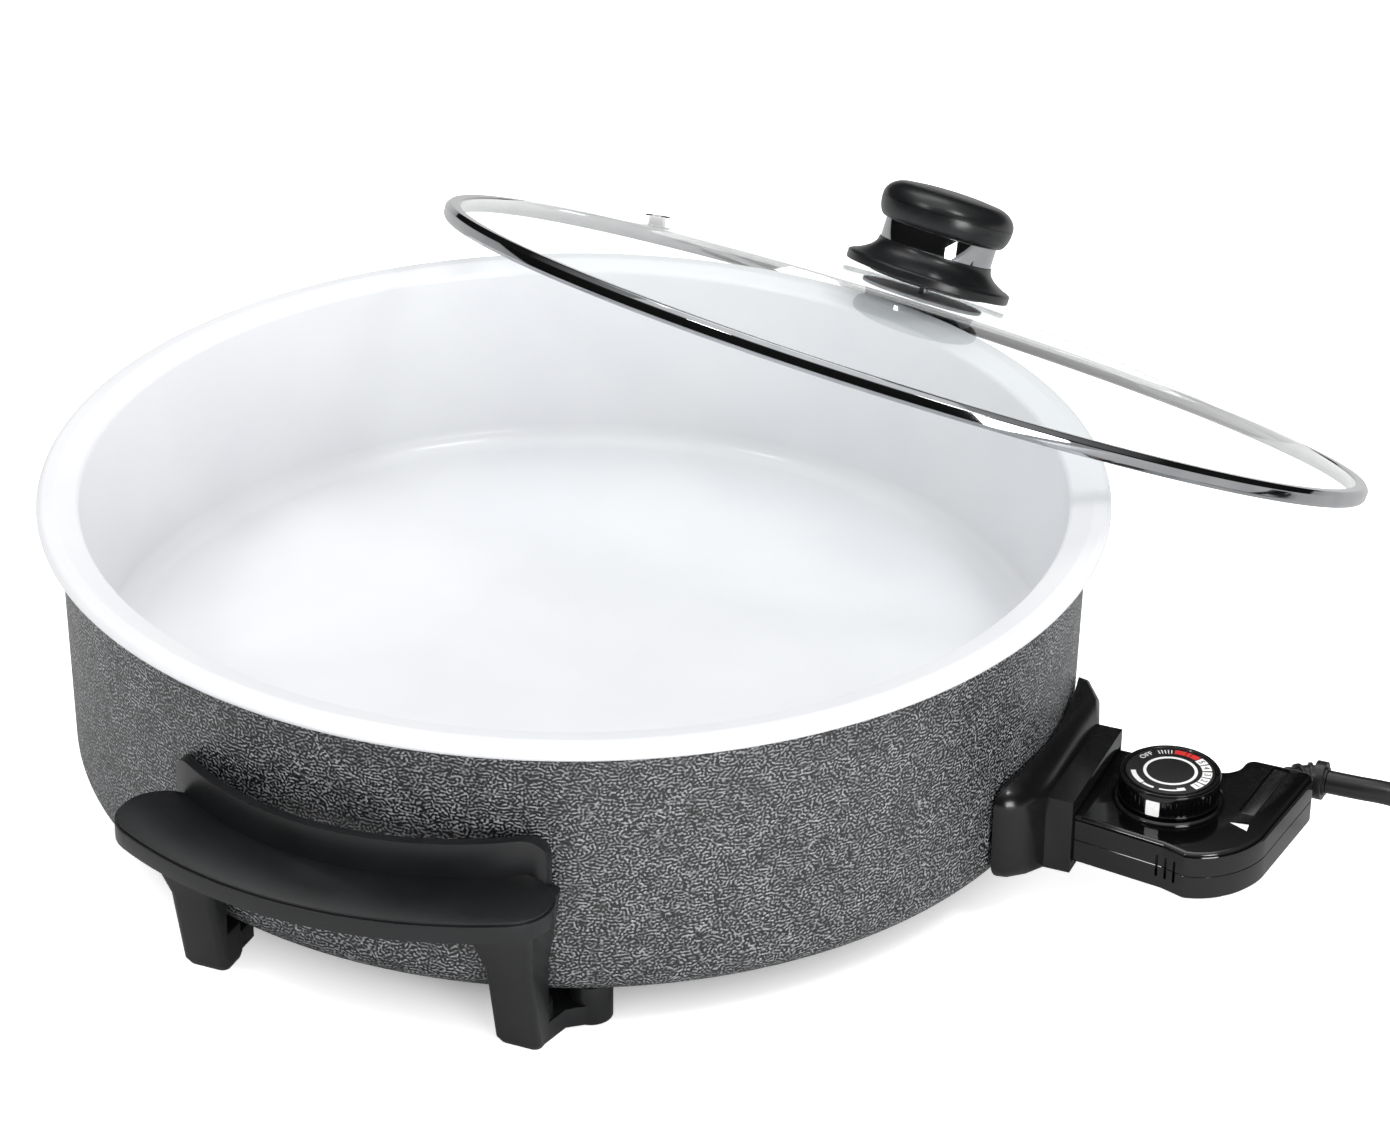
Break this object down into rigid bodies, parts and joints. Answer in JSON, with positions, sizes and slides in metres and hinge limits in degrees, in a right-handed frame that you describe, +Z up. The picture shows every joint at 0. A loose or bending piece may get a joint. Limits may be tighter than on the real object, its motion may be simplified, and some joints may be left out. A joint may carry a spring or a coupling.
{
  "type": "electric skillet",
  "caption": "Round electric skillet: ceramic-coated pan in a painted casing, side handles with legs, plug-in dial thermostat with its mains lead, and a loose domed glass lid.",
  "frame": {"origin": "on the table, under the pan's axis, in the plane of the leg ends", "axes": "+Z up along the pan's axis; -Y towards the thermostat and its socket; the side handles lie on -X and +X"},
  "size_m": [0.6313, 0.6679, 0.2025],
  "materials": {
    "ceramic_coating": "white ceramic coating on cast aluminium, satin gloss",
    "hammered_paint": "dark grey vermiculated paint with light grey veins",
    "bakelite": "black moulded phenolic, matte",
    "gloss_black": "black moulded plastic, polished",
    "dial_print": "black face with plain white scale marks and a red band",
    "label_gloss": "bare black plate",
    "lead_rubber": "black mains lead",
    "polished_steel": "polished stainless steel",
    "zinc_steel": "zinc-plated steel",
    "bare_aluminium": "rolled aluminium",
    "contact_brass": "stamped brass",
    "bimetal": "bimetal strip",
    "white_ceramic": "unglazed insulator",
    "clear_glass": "clear toughened glass",
    "clear_silicone": "translucent silicone"
  },
  "bodies": {
    "base": {"pan": "ceramic_coating", "casing": "hammered_paint", "heat_plate": "bare_aluminium", "heating_element": "zinc_steel", "element_clips": "zinc_steel", "terminal_pins": "zinc_steel", "pin_bushes": "white_ceramic", "sensor_sleeve": "zinc_steel", "sleeve_saddle": "bare_aluminium", "pan_studs": "zinc_steel", "stud_nuts": "zinc_steel", "handle_left": "bakelite", "handle_right": "bakelite", "handle_screws": "zinc_steel", "handle_nuts": "zinc_steel", "socket_shield": "bakelite", "socket_screws": "zinc_steel"},
    "lid": {"lid_glass": "clear_glass", "lid_band": "polished_steel", "lid_vent": "polished_steel", "knob_gasket": "lead_rubber", "knob_washer": "clear_silicone", "knob_screw": "zinc_steel", "knob_skirt": "bakelite", "knob_ring": "polished_steel", "knob_cap": "bakelite"},
    "probe": {"probe_top_shell": "gloss_black", "probe_bottom_shell": "gloss_black", "shell_screws": "zinc_steel", "label_plate": "label_gloss", "sensor_rod": "zinc_steel", "contact_sleeves": "contact_brass", "sleeve_carrier": "white_ceramic", "thermostat_frame": "zinc_steel", "bimetal_strip": "bimetal", "contact_blade": "contact_brass", "switch_spacers": "white_ceramic", "cord_clamp": "white_ceramic", "clamp_screws": "zinc_steel", "strain_relief": "lead_rubber", "cord_lead": "lead_rubber", "cord_coil": "lead_rubber", "cord_tail": "lead_rubber", "cord_tie": "lead_rubber", "plug_body": "lead_rubber", "plug_pins": "zinc_steel", "plug_earth_strips": "zinc_steel"},
    "dial": {"dial_knob": "gloss_black", "dial_cap": "dial_print", "dial_shaft": "zinc_steel"}
  },
  "joints": [
    {"name": "lid_swing", "type": "hinge", "parent": "base", "child": "lid", "pos_m": [0.04766, -0.01595, -0.32939], "axis": [0.3173, 0.9483, 0], "range_deg": [-25.4, 0]},
    {"name": "probe_pull", "type": "slide", "parent": "base", "child": "probe", "axis": [0, -1, 0], "range_m": [0, 0.09]},
    {"name": "dial_turn", "type": "hinge", "parent": "probe", "child": "dial", "pos_m": [-0.001, -0.249, 0.05], "axis": [0, 0, -1], "range_deg": [0, 285]}
  ]
}
